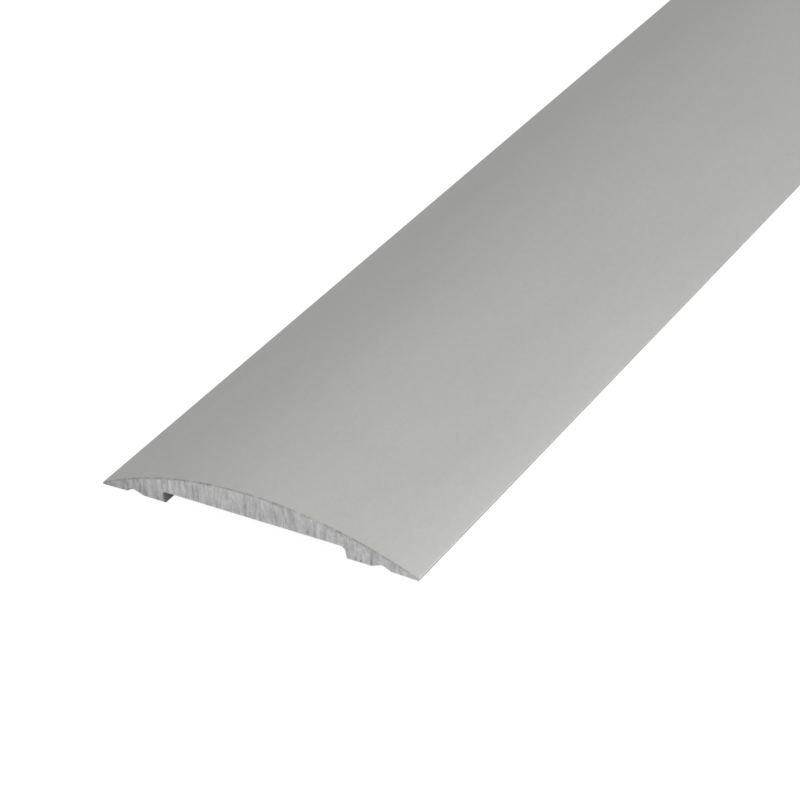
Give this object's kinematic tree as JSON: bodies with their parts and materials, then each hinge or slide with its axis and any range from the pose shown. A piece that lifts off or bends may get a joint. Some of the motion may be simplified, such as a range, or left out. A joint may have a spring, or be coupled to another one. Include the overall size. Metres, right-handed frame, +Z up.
{
  "type": "threshold strip",
  "caption": "Domed aluminium threshold strip with thin tapered edges, stuck over a floor joint by a foam tape in the recess under it; the tape's liner pulls off.",
  "frame": {"origin": "under the middle of the strip, on the outer face of the release liner, which is the lowest face", "axes": "+Y runs along the strip, +X across it towards one long edge, and +Z up out of the crown; the strip is the same from both ends"},
  "size_m": [0.038, 0.9, 0.0045],
  "materials": {
    "anodised_aluminium": "satin",
    "acrylic_adhesive": "gloss",
    "pe_foam": "matte",
    "glassine_paper": "satin"
  },
  "bodies": {
    "strip": {"strip_profile": "anodised_aluminium", "tape_upper_adhesive": "acrylic_adhesive", "tape_carrier": "pe_foam", "tape_lower_adhesive": "acrylic_adhesive"},
    "liner": {"release_liner": "glassine_paper"}
  },
  "joints": [
    {"name": "liner_pull", "type": "slide", "parent": "strip", "child": "liner", "axis": [0, -1, 0], "range_m": [0, 0.9]}
  ]
}
